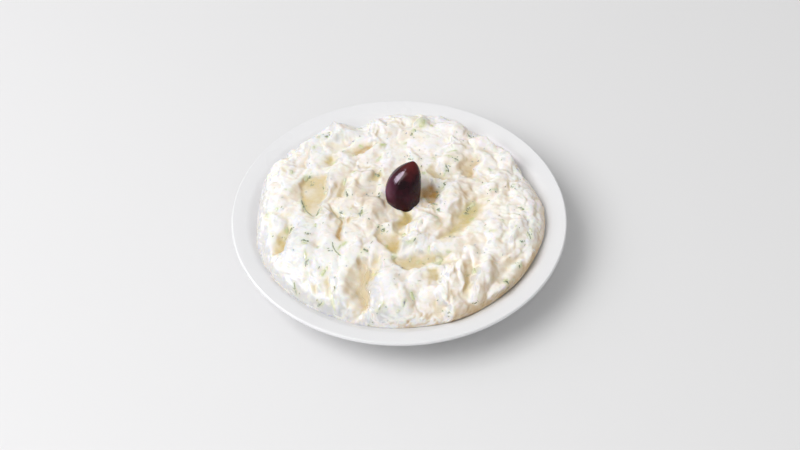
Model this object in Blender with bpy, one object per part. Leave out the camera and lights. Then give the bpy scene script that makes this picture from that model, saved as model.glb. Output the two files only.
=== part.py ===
"""A plate of tzatziki: a glazed plate, thick dip heaped over its well, and one pointed olive.

Run with: blender --background --python part.py
Metres, +Z up. The origin is the centre of the plate's foot, on the table.
"""

import math

import bmesh
import bpy
import numpy as np
from mathutils import Matrix, Vector

MM = 0.001
GAP = 0.4 * MM  # upright gap between the plate and the dip
SOCKET_GAP = 0.3 * MM  # gap between the olive and the dip that holds it

# Plate: a side plate of 160 mm with a sloping wall that rolls over into a narrow rim.
PLATE_RADIUS = 80 * MM
PLATE_HEIGHT = 21.5 * MM
PLATE_SIDES = 72
FLOOR_RADIUS = 50 * MM
FLOOR_HEIGHT = 4.6 * MM
FLOOR_RISE = 0.3 * MM  # the floor climbs this much from its centre to the wall
COVE_ROUND = 18 * MM  # between the floor and the wall
SHOULDER_RADIUS = 71.9 * MM  # where the wall meets the rim
SHOULDER_HEIGHT = 20 * MM
SHOULDER_ROUND = 7 * MM
LIP_ROUND = 1.2 * MM
SHELL = 4.0 * MM
FOOT_RADIUS = 45 * MM
FOOT_WIDTH = 4 * MM
FOOT_DRAFT = 0.8 * MM  # how much wider the foot is at its root
FOOT_HEIGHT = 1.9 * MM

# Dip: its edge touches the wall, and its top stands proud of the rim.
DIP_RADIUS = 68.4 * MM
DIP_RINGS = 23  # the skin is a square net of twice as many cells each way, drawn to a disc
DIP_CROWDING = 1.5  # how much the net's cells crowd towards the edge
DIP_EDGE_TOP = 27.4 * MM
DIP_MIDDLE_TOP = 30.0 * MM
DIP_SHOULDER = 12  # how square the heap's shoulder is
EDGE_WAVER = 0.45 * MM
# Where the edge draws back or bulges: bearing in degrees, half-width in degrees, amount.
EDGE_BAYS = (
    (107, 7, -4.0 * MM),
    (54, 8, -1.2 * MM),
    (24, 9, -2.4 * MM),
    (76, 6, 1.6 * MM),
    (119, 6, 1.4 * MM),
    (-13, 17, 2.0 * MM),
    (-90, 24, -0.8 * MM),
)

# What the spoon left, in mm and degrees: across, away, length, width, turn, height.
# A hollow has a height below zero, and oil gathers in the deeper ones.
HOLLOWS = (
    (-41.5, 8, 21, 14, 82, -4.2),
    (-40.5, -3, 17, 7, 86, -3.4),
    (31, -9, 34, 11, 56, -4.2),
    (8, -36, 30, 9, -4, -4.4),
    (14, 6, 13, 9, 110, -3.4),
    (2, -8, 15, 9, 0, -2.4),
    (35, 26, 17, 8, 75, -3.4),
    (19, 19, 14, 6, -15, -2.2),
    (-19, 37, 14, 6, 30, -2.8),
    (-34, 30, 12, 7, 45, -2.6),
    (-28, 41, 16, 7, 50, -1.8),
    (-55, -24, 22, 8, 66, -3.8),
    (-59, -31, 12, 6, 25, -2.4),
    (-27.5, 9, 18, 6, 78, -2.8),
    (-28.5, -16, 24, 5, 104, -3.0),
    (1.5, -15, 14, 6, 74, -3.2),
    (-6, -24, 13, 8, 115, -3.2),
    (-17, -50, 34, 10, 84, -4.0),
    (-11, -40, 18, 5, 84, -2.4),
    (-35, -48, 20, 5, 84, -2.2),
    (13.5, -48, 11, 6, 110, -2.6),
    (33.5, -51, 30, 6, 80, -3.4),
    (45, -44, 26, 6, 66, -2.6),
    (54, -34, 12, 5, 20, -2.0),
    (17.5, -65, 10, 7, 60, -2.0),
    (-48, 29, 18, 5, 97, -2.0),
)
RIDGES = (
    (-60, -13, 30, 14, 84, 2.4),
    (-58, 6, 22, 16, 60, 2.0),
    (-56, 20, 16, 10, 60, 1.8),
    (-45, -30, 34, 13, 94, 2.4),
    (-36, -11, 16, 8, 70, 1.8),
    (-34, -33, 18, 8, 70, 1.6),
    (-34, 12, 26, 5, 72, 2.2),
    (-21, 4, 22, 9, 70, 2.0),
    (-12, -7, 20, 9, 65, 2.0),
    (-16, 17, 16, 8, 20, 2.2),
    (-42, 24, 20, 9, 60, 1.8),
    (-26, 24, 18, 8, 60, 1.8),
    (-40, 43, 20, 12, 50, 2.0),
    (-29, 53, 18, 10, 112, 3.0),
    (-14, 46, 16, 9, 60, 2.0),
    (-3, 50, 16, 10, 40, 1.8),
    (12, 56, 16, 7, 76, 2.6),
    (25, 51, 22, 15, 20, 2.4),
    (44, 43, 14, 8, -30, 2.0),
    (53, 34, 14, 8, -60, 2.2),
    (26, 36, 22, 9, 10, 1.8),
    (48, 16, 20, 12, 60, 2.0),
    (26, 6, 24, 14, 55, 2.2),
    (13, -12, 20, 9, 66, 2.0),
    (6, -26, 22, 9, 20, 1.8),
    (-20, -31, 20, 10, 70, 1.8),
    (-2, -56, 32, 16, 98, 3.0),
    (-26, -55, 36, 8, 82, 3.4),
    (-57, -44, 24, 11, 58, 2.0),
    (-43, -60, 20, 9, 60, 1.8),
    (25, -46, 22, 9, 74, 2.0),
    (39, -44, 28, 8, 72, 2.8),
    (22, -60, 18, 10, 70, 2.2),
    (50, -52, 16, 9, 56, 2.0),
    (55, -14, 22, 10, 72, 2.0),
    (64, -12, 24, 7, 84, 1.8),
    (44, -18, 20, 10, 40, 1.6),
    (29, -68, 14, 8, 50, 1.8),
)
MARK_FADE = 1.4  # a mark's height on its outline is its own height over e to this power
# Lumps of grated cucumber under the yogurt fill the rest of the skin.
LUMPS = 120
LUMP_LENGTH = (11 * MM, 22 * MM)
LUMP_WIDTH = (8 * MM, 14 * MM)
LUMP_HEIGHT = (1.0 * MM, 3.2 * MM)
LUMP_SCATTER = 3 * MM
LUMP_TURN = (66, 28)  # they lean up and to the right: mean and spread in degrees
LUMP_SKEW = -0.4  # their crests lie left of the middle, so that side is the steeper one
LUMP_SEED = 7

# Olive: widest below its middle, drawn out to a point, with one side straighter than the other.
OLIVE_LENGTH = 29.4 * MM
OLIVE_WIDTH = 17.4 * MM
OLIVE_WIDEST = 0.46  # share of the length from the blunt end
OLIVE_BEND = 13 * MM  # both ends curve away from its belly
OLIVE_BASE = Vector((0.9, -0.3, 20.8)) * MM
OLIVE_LEAN_BACK = 17
OLIVE_LEAN_RIGHT = 4
OLIVE_SIDES = 22
OLIVE_RINGS = 14


def clear_scene():
    for thing in list(bpy.data.objects):
        bpy.data.objects.remove(thing, do_unlink=True)


def finish_of(name, colour, roughness):
    """A Principled material with one colour and roughness, and no metal."""
    made = bpy.data.materials.new(name)
    made.use_nodes = True
    shader = made.node_tree.nodes["Principled BSDF"]
    shader.inputs["Base Color"].default_value = (*colour, 1.0)
    shader.inputs["Roughness"].default_value = roughness
    shader.inputs["Metallic"].default_value = 0.0
    return made


def add_object(name, form, finish, crease=35):
    """Turns a bmesh into a named, smooth-shaded object and frees the bmesh."""
    bmesh.ops.recalc_face_normals(form, faces=form.faces)
    mesh = bpy.data.meshes.new(name)
    form.to_mesh(mesh)
    form.free()
    mesh.shade_smooth()
    mesh.set_sharp_from_angle(angle=math.radians(crease))
    made = bpy.data.objects.new(name, mesh)
    if finish:
        mesh.materials.append(finish)
    bpy.context.scene.collection.objects.link(made)
    return made


def rounded(corners):
    """An outline through (radius, height, round, steps) corners, each round an arc of that radius."""
    outline = []
    for i, (r, z, size, steps) in enumerate(corners):
        here = Vector((r, z))
        if not steps:
            outline.append(here)
            continue
        before = (Vector(corners[i - 1][:2]) - here).normalized()
        after = (Vector(corners[i + 1][:2]) - here).normalized()
        half = before.angle(after) / 2
        middle = here + (before + after).normalized() * size / math.sin(half)
        first = here + before * size / math.tan(half) - middle
        turn = first.angle_signed(here + after * size / math.tan(half) - middle)
        for k in range(steps + 1):
            outline.append(middle + Matrix.Rotation(-turn * k / steps, 2) @ first)
    return outline


def plate_top():
    """The side of the plate that carries the food, from its centre out to the top of the lip."""
    return rounded(
        [
            (0, FLOOR_HEIGHT, 0, 0),
            (FLOOR_RADIUS, FLOOR_HEIGHT + FLOOR_RISE, COVE_ROUND, 3),
            (SHOULDER_RADIUS, SHOULDER_HEIGHT, SHOULDER_ROUND, 3),
            (PLATE_RADIUS - LIP_ROUND, PLATE_HEIGHT, 0, 0),
        ]
    )


def plate_underside():
    """The outside of the plate, from the lip's edge down to the foot and in to the centre."""
    foot_outer = FOOT_RADIUS + FOOT_WIDTH / 2
    foot_inner = FOOT_RADIUS - FOOT_WIDTH / 2
    return rounded(
        [
            (PLATE_RADIUS - LIP_ROUND / 4, PLATE_HEIGHT - LIP_ROUND / 2, 0, 0),
            (PLATE_RADIUS, PLATE_HEIGHT - LIP_ROUND, 0, 0),
            (PLATE_RADIUS - LIP_ROUND, PLATE_HEIGHT - 0.75 * SHELL, 0, 0),
            (SHOULDER_RADIUS + SHELL / 3, SHOULDER_HEIGHT - SHELL, SHOULDER_ROUND, 2),
            (FLOOR_RADIUS + SHELL, FOOT_HEIGHT + FLOOR_RISE, COVE_ROUND / 2, 2),
            (foot_outer + FOOT_DRAFT, FOOT_HEIGHT, 0, 0),
            (foot_outer, 0, 0, 0),
            (foot_inner, 0, 0, 0),
            (foot_inner - FOOT_DRAFT, FOOT_HEIGHT, 0, 0),
            (0, FOOT_HEIGHT, 0, 0),
        ]
    )


def build_plate():
    form = bmesh.new()
    outline = [form.verts.new((p.x, 0, p.y)) for p in plate_top() + plate_underside()]
    edges = [form.edges.new(pair) for pair in zip(outline, outline[1:])]
    bmesh.ops.spin(
        form,
        geom=outline + edges,
        cent=(0, 0, 0),
        axis=(0, 0, 1),
        angle=2 * math.pi,
        steps=PLATE_SIDES,
    )
    bmesh.ops.remove_doubles(form, verts=form.verts, dist=1e-6)
    glaze = finish_of("white_glaze", (0.86, 0.86, 0.86), 0.15)
    return add_object("plate", form, glaze, crease=50)


def dip_edge(bearing):
    """How far the dip reaches at a bearing: a wavering circle with Gaussian bays."""
    waver = np.sin(5 * bearing + 0.6) + 0.8 * np.sin(11 * bearing + 2.0)
    reach = DIP_RADIUS + EDGE_WAVER * waver
    for at, half_width, amount in EDGE_BAYS:
        off = (np.degrees(bearing) - at + 180) % 360 - 180
        reach = reach + amount * np.exp(-((off / half_width) ** 2))
    return reach


def oval(x, y, across, away, length, width, turn, skew=0.0):
    """Squared distance from an oval's crest, which is 1 on its outline.

    A skew below 0 moves the crest to the left of its length.
    """
    c, s = math.cos(math.radians(turn)), math.sin(math.radians(turn))
    along = ((x - across) * c + (y - away) * s) / (length / 2)
    beside = ((x - across) * s - (y - away) * c) / (width / 2)
    beside = (beside - skew) / (1 + skew * np.sign(skew - beside))
    return along**2 + beside**2


def lumps():
    """Lumps spread like a sunflower's seeds, each with its own size and turn."""
    draw = np.random.default_rng(LUMP_SEED)
    span = DIP_RADIUS + DIP_EDGE_TOP - SHOULDER_HEIGHT
    for k in range(LUMPS):
        r = span * math.sqrt((k + 0.5) / LUMPS)
        bearing = k * math.pi * (3 - math.sqrt(5))
        spot = (r * math.cos(bearing), r * math.sin(bearing))
        across, away = draw.normal(spot, LUMP_SCATTER)
        length, width = draw.uniform(*LUMP_LENGTH), draw.uniform(*LUMP_WIDTH)
        yield across, away, length, width, draw.normal(*LUMP_TURN), draw.uniform(*LUMP_HEIGHT)


def relief(x, y):
    """Height over the plain heap: Gaussian marks, and domes joined by the sum of fifth powers."""
    marks = np.zeros_like(x)
    calm = np.zeros_like(x)
    for *place, rise in HOLLOWS + RIDGES:
        weight = np.exp(-MARK_FADE * oval(x / MM, y / MM, *place))
        marks += rise * MM * weight
        if rise < 0:
            calm = np.maximum(calm, weight)
    domes = np.zeros_like(x)
    for *place, rise in lumps():
        domes += np.maximum(0, rise / MM * (1 - oval(x, y, *place, LUMP_SKEW))) ** 5
    return marks + MM * domes**0.2 * (1 - calm)


def dip_top(share, bearing, contact):
    """Points of the dip's skin, where share runs from 0 in the middle to 1 at the edge.

    The plain heap is a low dome with a square shoulder. The relief stands on it, upwards on
    the top and outwards on the side, and dies away where the dip meets the plate.
    """
    reach = dip_edge(bearing) * share
    dome = DIP_EDGE_TOP + (DIP_MIDDLE_TOP - DIP_EDGE_TOP) * (1 - share**2)
    z = contact + (dome - contact) * np.sqrt(1 - share**DIP_SHOULDER)
    unrolled = reach + dome - z
    fall = (dome - z) / (dome - contact)
    stand = relief(unrolled * np.cos(bearing), unrolled * np.sin(bearing)) * (1 - fall**10)
    tilt = math.pi / 2 * np.sqrt(fall)
    reach = reach + stand * np.sin(tilt)
    return reach * np.cos(bearing), reach * np.sin(bearing), z + stand * np.cos(tilt)


def disc_net():
    """A square net drawn to a disc: each square round the middle becomes a circle."""
    steps = np.arange(-DIP_RINGS, DIP_RINGS + 1)
    a, b = np.meshgrid(steps, steps)
    square = np.maximum(abs(a), abs(b))
    wide = abs(a) >= abs(b)
    side, step = np.where(wide, (a, b), (b, a))
    lean = math.pi / 4 * step / np.where(side == 0, 1, side)
    bearing = np.where(wide, lean, math.pi / 2 - lean) + np.where(side < 0, math.pi, 0)
    share = 1 - (1 - square / DIP_RINGS) ** DIP_CROWDING
    return share, bearing


def rim_order():
    """The net's border cells once round, as (row, column) pairs."""
    last = 2 * DIP_RINGS
    border = [(0, i) for i in range(last)] + [(i, last) for i in range(last)]
    border += [(last, last - i) for i in range(last)] + [(last - i, 0) for i in range(last)]
    return border


def build_dip():
    """A skin on the disc net, and a belly of rings that follows the plate below it."""
    form = bmesh.new()
    top = plate_top()
    radii, heights = [p.x for p in top], [p.y for p in top]
    share, bearing = disc_net()
    contact = np.interp(dip_edge(bearing), radii, heights) + GAP
    skin = [[form.verts.new(p) for p in zip(*row)] for row in zip(*dip_top(share, bearing, contact))]
    for row, above in zip(skin, skin[1:]):
        for i in range(2 * DIP_RINGS):
            form.faces.new((row[i], row[i + 1], above[i + 1], above[i]))

    border = rim_order()
    turns = np.array([bearing[cell] for cell in border])
    rings = [[skin[row][column] for row, column in border]]
    for p in reversed([p for p in top if 0 < p.x < dip_edge(turns).min() - 1 * MM]):
        turned = zip(p.x * np.cos(turns), p.x * np.sin(turns))
        rings.append([form.verts.new((x, y, p.y + GAP)) for x, y in turned])
    nadir = form.verts.new((0, 0, FLOOR_HEIGHT + GAP))
    sides = range(len(border))
    for i, j in zip(sides, [*sides[1:], 0]):
        for ring, inner in zip(rings, rings[1:]):
            form.faces.new((ring[i], ring[j], inner[j], inner[i]))
        form.faces.new((nadir, rings[-1][i], rings[-1][j]))
    bmesh.ops.triangulate(form, faces=form.faces, quad_method="SHORT_EDGE")
    yogurt = finish_of("yogurt", (0.90, 0.86, 0.78), 0.35)
    return add_object("tzatziki", form, yogurt, crease=80)


def olive_form(grow=0.0):
    """An olive standing on its blunt end at the origin, each side grown by an amount."""
    form = bmesh.new()
    bmesh.ops.create_uvsphere(form, u_segments=OLIVE_SIDES, v_segments=OLIVE_RINGS, radius=1)
    tip_power = 0.5 * (1 - OLIVE_WIDEST) / OLIVE_WIDEST
    for v in form.verts:
        t = (v.co.z + 1) / 2
        around = math.atan2(v.co.y, v.co.x)
        swell = (t / OLIVE_WIDEST) ** 0.5 * (max(0, 1 - t) / (1 - OLIVE_WIDEST)) ** tip_power
        r = (OLIVE_WIDTH / 2 + grow) * swell
        v.co = (
            r * math.cos(around) + OLIVE_BEND * (t - OLIVE_WIDEST) ** 2,
            r * math.sin(around),
            (OLIVE_LENGTH + 2 * grow) * t - grow,
        )
    return form


def place_olive(thing):
    lean = Matrix.Rotation(math.radians(-OLIVE_LEAN_BACK), 4, "X")
    lean = Matrix.Rotation(math.radians(OLIVE_LEAN_RIGHT), 4, "Y") @ lean
    thing.matrix_world = Matrix.Translation(OLIVE_BASE) @ lean


def build_olive(dip):
    """The olive, and the socket that it presses into the dip."""
    skin = finish_of("olive_skin", (0.06, 0.01, 0.02), 0.15)
    olive = add_object("olive", olive_form(), skin, crease=60)
    place_olive(olive)
    socket = add_object("olive_socket", olive_form(SOCKET_GAP), None)
    place_olive(socket)
    socket.hide_render = True
    socket.display_type = "WIRE"
    cut = dip.modifiers.new("socket", "BOOLEAN")
    cut.operation = "DIFFERENCE"
    cut.solver = "EXACT"
    cut.object = socket


def build():
    clear_scene()
    build_plate()
    dip = build_dip()
    build_olive(dip)


build()
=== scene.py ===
"""A plate of tzatziki, dressed: glazed plate, lumpy dip, oil, cucumber, herbs and an olive.

Metres, +Z up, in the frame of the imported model. Each section below makes one piece or one
group of like pieces, in the order in which the plate is served.
"""

import math

import bpy
import numpy as np
from mathutils import Matrix, Vector


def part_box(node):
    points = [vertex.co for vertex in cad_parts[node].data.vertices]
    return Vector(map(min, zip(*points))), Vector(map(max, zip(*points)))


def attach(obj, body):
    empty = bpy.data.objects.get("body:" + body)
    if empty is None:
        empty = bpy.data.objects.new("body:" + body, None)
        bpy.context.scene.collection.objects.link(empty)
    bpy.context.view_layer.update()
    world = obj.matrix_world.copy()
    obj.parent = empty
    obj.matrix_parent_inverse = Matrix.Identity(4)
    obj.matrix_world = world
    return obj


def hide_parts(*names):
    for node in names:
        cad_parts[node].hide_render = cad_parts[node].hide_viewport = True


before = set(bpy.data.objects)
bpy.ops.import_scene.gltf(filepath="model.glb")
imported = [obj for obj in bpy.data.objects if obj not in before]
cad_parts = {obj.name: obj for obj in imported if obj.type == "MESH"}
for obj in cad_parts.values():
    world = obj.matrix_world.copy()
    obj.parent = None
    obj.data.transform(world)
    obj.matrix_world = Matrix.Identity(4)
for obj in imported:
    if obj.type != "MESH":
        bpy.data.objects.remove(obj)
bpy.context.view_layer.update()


# Plate. A pressed white side plate: a level floor, a sloping wall, and a shoulder that rolls over
# into a narrow rim. It is glazed all over but for the tread of its foot ring, which is bare.
MM = 0.001
plate_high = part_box("plate")[1]
PLATE_RADIUS = plate_high.x
PLATE_HEIGHT = plate_high.z
PLATE_SIDES = 256
FLOOR_RADIUS = 50 * MM
FLOOR_HEIGHT = 4.6 * MM
FLOOR_RISE = 0.3 * MM
COVE_ROUND = 18 * MM
SHOULDER_RADIUS = 71.9 * MM
SHOULDER_HEIGHT = 20 * MM
SHOULDER_ROUND = 7 * MM
LIP_ROUND = 1.2 * MM
LIP_FALL = 0.05 * MM
SHELL = 4 * MM
FOOT_RADIUS = 45 * MM
FOOT_WIDTH = 4 * MM
FOOT_DRAFT = 0.8 * MM
FOOT_HEIGHT = 1.9 * MM
TREAD_ROUND = 0.3 * MM


def rounded(corners):
    """An outline through (radius, height, round, steps) corners.

    A corner with steps becomes an arc of the given radius that touches both its sides.
    """
    outline = []
    for i, (r, z, size, steps) in enumerate(corners):
        here = Vector((r, z))
        if not steps:
            outline.append(here)
            continue
        before = (Vector(corners[i - 1][:2]) - here).normalized()
        after = (Vector(corners[i + 1][:2]) - here).normalized()
        half = before.angle(after) / 2
        middle = here + (before + after).normalized() * size / math.sin(half)
        first = here + before * size / math.tan(half) - middle
        turn = first.angle_signed(here + after * size / math.tan(half) - middle)
        outline += [middle + Matrix.Rotation(-turn * k / steps, 2) @ first for k in range(steps + 1)]
    return np.array(outline)


def solid(name, points, faces):
    """A smooth-shaded mesh object from an array of points and a list of faces."""
    mesh = bpy.data.meshes.new(name)
    mesh.from_pydata(points.tolist(), [], faces)
    mesh.shade_smooth()
    made = bpy.data.objects.new(name, mesh)
    bpy.context.scene.collection.objects.link(made)
    return made


def ring_faces(rows, sides):
    """Quads between rings of points, each ring closed on itself, as an array of four indices."""
    row, side = np.meshgrid(np.arange(rows - 1), np.arange(sides), indexing="ij")
    beside = (side + 1) % sides
    here, ahead = row * sides, (row + 1) * sides
    quads = [here + side, here + beside, ahead + beside, ahead + side]
    return np.stack(quads, -1).reshape(-1, 4)


def capped(name, rings, poles):
    """A closed mesh from rings of points, shaped (rings, sides, 3), and its first and last pole."""
    rows, sides = rings.shape[:2]
    count = rows * sides
    i = np.arange(sides)
    first = np.stack([np.full(sides, count), np.roll(i, -1), i], -1)
    last = np.stack([np.full(sides, count + 1), count - sides + i, count - sides + np.roll(i, -1)], -1)
    faces = ring_faces(rows, sides).tolist() + np.vstack([first, last]).tolist()
    return solid(name, np.vstack([rings.reshape(-1, 3), poles]), faces)


def turned(name, outline, sides):
    """A solid of revolution from an outline whose ends lie on the axis, lower end first."""
    turns = np.arange(sides) * 2 * math.pi / sides
    r, z = outline[1:-1, :1], outline[1:-1, 1:]
    rings = np.stack([r * np.cos(turns), r * np.sin(turns), z + 0 * turns], -1)
    return capped(name, rings, [(0, 0, outline[0, 1]), (0, 0, outline[-1, 1])])


GRAIN = 0.55  # how strong each finer octave of a noise is


def new_material(name, **sockets):
    """A Principled material with fixed values on the named sockets; returns it, its tree and shader."""
    made = bpy.data.materials.new(name)
    made.use_nodes = True
    shader = made.node_tree.nodes["Principled BSDF"]
    for socket, value in sockets.items():
        shader.inputs[socket.replace("_", " ")].default_value = value
    return made, made.node_tree, shader


def node(tree, kind, inputs=None, **settings):
    """Adds a shader node; inputs maps a socket's name or number to a value or to another output."""
    made = tree.nodes.new(kind)
    for key, value in settings.items():
        setattr(made, key, value)
    for key, value in (inputs or {}).items():
        if isinstance(value, bpy.types.NodeSocket):
            tree.links.new(value, made.inputs[key])
        else:
            made.inputs[key].default_value = value
    return made


def object_place(tree):
    """The Object coordinates of the shaded point."""
    return node(tree, "ShaderNodeTexCoord").outputs["Object"]


def position(tree):
    """The same as three outputs: across, away and up."""
    return node(tree, "ShaderNodeSeparateXYZ", {0: object_place(tree)}).outputs


def noise(tree, scale, detail=3.0):
    """Noise on Object coordinates, with scale in features a metre; gives its value output."""
    inputs = {"Vector": object_place(tree), "Scale": scale, "Detail": detail, "Roughness": GRAIN}
    return node(tree, "ShaderNodeTexNoise", inputs).outputs["Fac"]


def remap(tree, value, low, high, out_low=0.0, out_high=1.0):
    """Takes a value from one range to another, clamped."""
    inputs = {0: value, 1: low, 2: high, 3: out_low, 4: out_high}
    return node(tree, "ShaderNodeMapRange", inputs).outputs[0]


def blend(tree, share, first, second, mode="MIX"):
    """Mixes two colours by a share that may be a number or an output."""
    made = node(tree, "ShaderNodeMix", data_type="RGBA", blend_type=mode)
    for key, value in ((0, share), (6, first), (7, second)):
        if isinstance(value, bpy.types.NodeSocket):
            tree.links.new(value, made.inputs[key])
        else:
            made.inputs[key].default_value = value if key == 0 else (*value, 1)
    return made.outputs[2]


def maths(tree, operation, first, second):
    """One arithmetic step on two values, each a number or an output."""
    return node(tree, "ShaderNodeMath", {0: first, 1: second}, operation=operation).outputs[0]


def feed(tree, shader, **outputs):
    """Links each output to the shader's socket of that name."""
    for socket, output in outputs.items():
        tree.links.new(output, shader.inputs[socket.replace("_", " ")])


def bump(tree, shader, height, depth, strength):
    """Feeds a height from 0 to 1 to the shader's normal, as relief of the given depth."""
    inputs = {"Height": height, "Distance": depth, "Strength": strength}
    feed(tree, shader, Normal=node(tree, "ShaderNodeBump", inputs).outputs[0])


def effect(name, inputs, outputs):
    """An empty shader node group with the named sockets; returns it and its two ends."""
    group = bpy.data.node_groups.new(name, "ShaderNodeTree")
    for sockets, way in ((inputs, "INPUT"), (outputs, "OUTPUT")):
        for label, kind in sockets.items():
            group.interface.new_socket(label, in_out=way, socket_type="NodeSocket" + kind)
    return group, group.nodes.new("NodeGroupInput").outputs, group.nodes.new("NodeGroupOutput").inputs


def patches(group, given):
    """A group's noise on the place, scale and detail given, stretched from low to high."""
    inputs = {key: given[key] for key in ("Scale", "Detail")}
    inputs.update({"Vector": given["Place"], "Roughness": GRAIN})
    value = node(group, "ShaderNodeTexNoise", inputs).outputs["Fac"]
    return remap(group, value, given["Low"], given["High"])


# mottling: the patches are the share of the second colour in the first
SPREAD = {"Place": "Vector", "Scale": "Float", "Detail": "Float", "Low": "Float", "High": "Float"}
mottling, given, result = effect(
    "mottling", {**SPREAD, "First": "Color", "Second": "Color"}, {"Share": "Float", "Colour": "Color"}
)
share = patches(mottling, given)
mottling.links.new(share, result["Share"])
mottling.links.new(blend(mottling, share, given["First"], given["Second"]), result["Colour"])

# uneven gloss: the patches run from the smoothest to the roughest
gloss, given, result = effect(
    "uneven_gloss", {**SPREAD, "Smoothest": "Float", "Roughest": "Float"}, {"Roughness": "Float"}
)
share = patches(gloss, given)
gloss.links.new(remap(gloss, share, 0.0, 1.0, given["Smoothest"], given["Roughest"]), result["Roughness"])


def mottle(tree, scale, detail, low, high, first, second):
    """Places the mottling group; returns its outputs, Share and Colour."""
    inputs = {"Place": object_place(tree), "Scale": scale, "Detail": detail, "Low": low, "High": high}
    inputs.update({"First": (*first, 1), "Second": (*second, 1)})
    return node(tree, "ShaderNodeGroup", inputs, node_tree=mottling).outputs


def uneven_gloss(tree, scale, smoothest, roughest, low=0.3, high=0.7):
    """Places the uneven gloss group; returns its roughness."""
    inputs = {"Place": object_place(tree), "Scale": scale, "Detail": 2.0, "Low": low, "High": high}
    inputs.update({"Smoothest": smoothest, "Roughest": roughest})
    return node(tree, "ShaderNodeGroup", inputs, node_tree=gloss).outputs[0]


rim_under = PLATE_HEIGHT - 0.75 * SHELL
plate_inside = rounded(
    [
        (0, FLOOR_HEIGHT, 0, 0),
        (FLOOR_RADIUS, FLOOR_HEIGHT + FLOOR_RISE, COVE_ROUND, 12),
        (SHOULDER_RADIUS, SHOULDER_HEIGHT, SHOULDER_ROUND, 14),
        (PLATE_RADIUS - LIP_ROUND / 2, PLATE_HEIGHT - LIP_FALL, LIP_ROUND / 2, 5),
        (PLATE_RADIUS + LIP_ROUND / 6, PLATE_HEIGHT - LIP_ROUND, LIP_ROUND, 5),
        (PLATE_RADIUS - LIP_ROUND, rim_under, 0, 0),
    ]
)
plate_outside = rounded(
    [
        (PLATE_RADIUS - 2 * LIP_ROUND, rim_under - 0.45 * LIP_ROUND, 0, 0),
        (SHOULDER_RADIUS + SHELL / 3, SHOULDER_HEIGHT - SHELL, SHOULDER_ROUND, 8),
        (FLOOR_RADIUS + SHELL, FOOT_HEIGHT + FLOOR_RISE, COVE_ROUND / 2, 8),
        (FOOT_RADIUS + FOOT_WIDTH / 2 + FOOT_DRAFT, FOOT_HEIGHT, 0, 0),
        (FOOT_RADIUS + FOOT_WIDTH / 2, TREAD_ROUND, 0, 0),
        (FOOT_RADIUS + FOOT_WIDTH / 2 - TREAD_ROUND, 0, 0, 0),
        (FOOT_RADIUS - FOOT_WIDTH / 2 + TREAD_ROUND, 0, 0, 0),
        (FOOT_RADIUS - FOOT_WIDTH / 2, TREAD_ROUND, 0, 0),
        (FOOT_RADIUS - FOOT_WIDTH / 2 - FOOT_DRAFT, FOOT_HEIGHT, 0, 0),
        (0, FOOT_HEIGHT, 0, 0),
    ]
)
plate = turned("glazed_plate", np.vstack([plate_inside, plate_outside])[::-1], PLATE_SIDES)

glaze, tree, shader = new_material("white_glaze", Specular_IOR_Level=0.16)
body = mottle(tree, 60, 3, 0.0, 1.0, (0.735, 0.735, 0.75), (0.765, 0.765, 0.77))["Colour"]
bare = remap(tree, position(tree)[2], 0.25 * MM, 0.1 * MM)
feed(tree, shader, Base_Color=blend(tree, bare, body, (0.66, 0.63, 0.57)))
sheen = uneven_gloss(tree, 35, 0.2, 0.4, low=0.0, high=1.0)
feed(tree, shader, Roughness=maths(tree, "MAXIMUM", sheen, maths(tree, "MULTIPLY", bare, 0.7)))
bump(tree, shader, noise(tree, 90, 1), 0.02 * MM, 0.4)
plate.data.materials.append(glaze)
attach(plate, "root")
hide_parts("plate")


# Dip. Strained yogurt folded with grated cucumber and heaped over the well with a spoon. Folds
# lap over one another with a steep left side, spoon marks lie between them, and the white turns
# to tan where oil stains it and where shade is painted into the creases and on the sides that face
# away from the key light. The skin is a disc net on a plain heap with a relief on it.
DIP_RADIUS = 68.4 * MM
DIP_RINGS = 150
DIP_EDGE_TOP = 27.4 * MM
DIP_MIDDLE_TOP = 30.0 * MM
DIP_SHOULDER = 12
DIP_GAP = 0.3 * MM  # under the belly
DIP_SINK = 0.1 * MM  # the edge reaches just into the glaze, so that no air shows
DIP_TUCK = 0.9 * MM  # the foot of the side turns in, most on the right
EDGE_WAVER = 0.45 * MM
# bearing in degrees, half-width in degrees, amount
EDGE_BAYS = (
    (107, 7, -4.0 * MM),
    (54, 8, -1.2 * MM),
    (24, 9, -2.4 * MM),
    (76, 6, 1.6 * MM),
    (119, 6, 1.4 * MM),
    (-13, 17, 2.0 * MM),
    (-90, 24, -0.8 * MM),
    (-153, 14, 1.6 * MM),
)
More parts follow.
